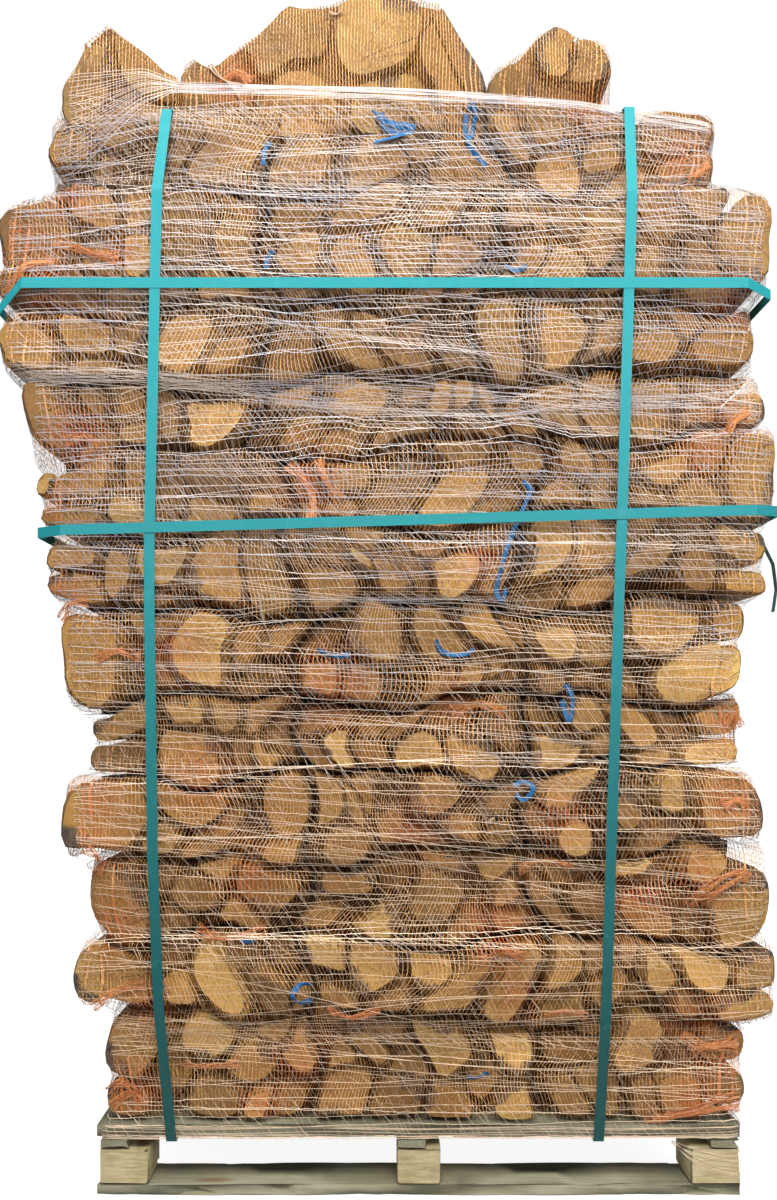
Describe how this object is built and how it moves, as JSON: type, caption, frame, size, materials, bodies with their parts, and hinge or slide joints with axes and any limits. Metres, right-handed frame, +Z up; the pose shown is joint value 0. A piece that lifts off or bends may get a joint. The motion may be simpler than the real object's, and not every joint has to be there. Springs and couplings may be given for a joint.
{
  "type": "palletised firewood bundle",
  "caption": "Net sacks of split firewood stacked in layers on a wooden pallet, wound in stretch netting and held by upright and level straps.",
  "frame": {"origin": "middle of the pallet's underside, on the floor, below the middle of the centre bottom board", "axes": "+Z up, -Y towards the viewer of the pictured front, +X to that viewer's right"},
  "size_m": [1.2576, 1.2768, 1.888],
  "materials": {
    "pallet_pine": "pale greenish sawn pine",
    "block_wood": "tan sawn block end grain",
    "netted_logs": "split log ends seen through orange net",
    "sack_net": "orange knitted plastic net",
    "drawstring": "blue braided plastic tie",
    "strap": "turquoise polyester strap, satin",
    "wrap_netting": "white stretch pallet netting"
  },
  "bodies": {
    "root": {"pallet_deck_board_1": "pallet_pine", "pallet_deck_board_2": "pallet_pine", "pallet_deck_board_3": "pallet_pine", "pallet_deck_board_4": "pallet_pine", "pallet_deck_board_5": "pallet_pine", "pallet_deck_board_6": "pallet_pine", "pallet_deck_board_7": "pallet_pine", "pallet_stringer_left": "pallet_pine", "pallet_stringer_middle": "pallet_pine", "pallet_stringer_right": "pallet_pine", "pallet_bottom_board_front": "pallet_pine", "pallet_bottom_board_centre": "pallet_pine", "pallet_bottom_board_back": "pallet_pine", "pallet_block_front_left": "block_wood", "pallet_block_front_middle": "block_wood", "pallet_block_front_right": "block_wood", "pallet_block_centre_left": "block_wood", "pallet_block_centre_middle": "block_wood", "pallet_block_centre_right": "block_wood", "pallet_block_back_left": "block_wood", "pallet_block_back_middle": "block_wood", "pallet_block_back_right": "block_wood", "sack_row_front_01": "netted_logs", "sack_row_front_02": "netted_logs", "sack_row_front_03": "netted_logs", "sack_row_front_04": "netted_logs", "sack_row_front_05": "netted_logs", "sack_row_front_06": "netted_logs", "sack_row_front_07": "netted_logs", "sack_row_front_08": "netted_logs", "sack_row_front_09": "netted_logs", "sack_row_front_10": "netted_logs", "sack_row_front_11": "netted_logs", "sack_row_front_12": "netted_logs", "sack_row_back_01": "netted_logs", "sack_row_back_02": "netted_logs", "sack_row_back_03": "netted_logs", "sack_row_back_04": "netted_logs", "sack_row_back_05": "netted_logs", "sack_row_back_06": "netted_logs", "sack_row_back_07": "netted_logs", "sack_row_back_08": "netted_logs", "sack_row_back_09": "netted_logs", "sack_row_back_10": "netted_logs", "sack_row_back_11": "netted_logs", "sack_row_back_12": "netted_logs", "top_sack_left_corner": "netted_logs", "top_sack_centre": "netted_logs", "top_sack_right": "netted_logs", "top_sack_back_left": "netted_logs", "top_sack_back_right": "netted_logs", "strap_upright_left": "strap", "strap_upright_right": "strap", "strap_level_upper": "strap", "strap_level_lower": "strap", "strap_tail": "strap", "netting_top_hem": "wrap_netting", "netting_gathered_band": "wrap_netting", "netting_foot_band": "wrap_netting"}
  },
  "joints": []
}
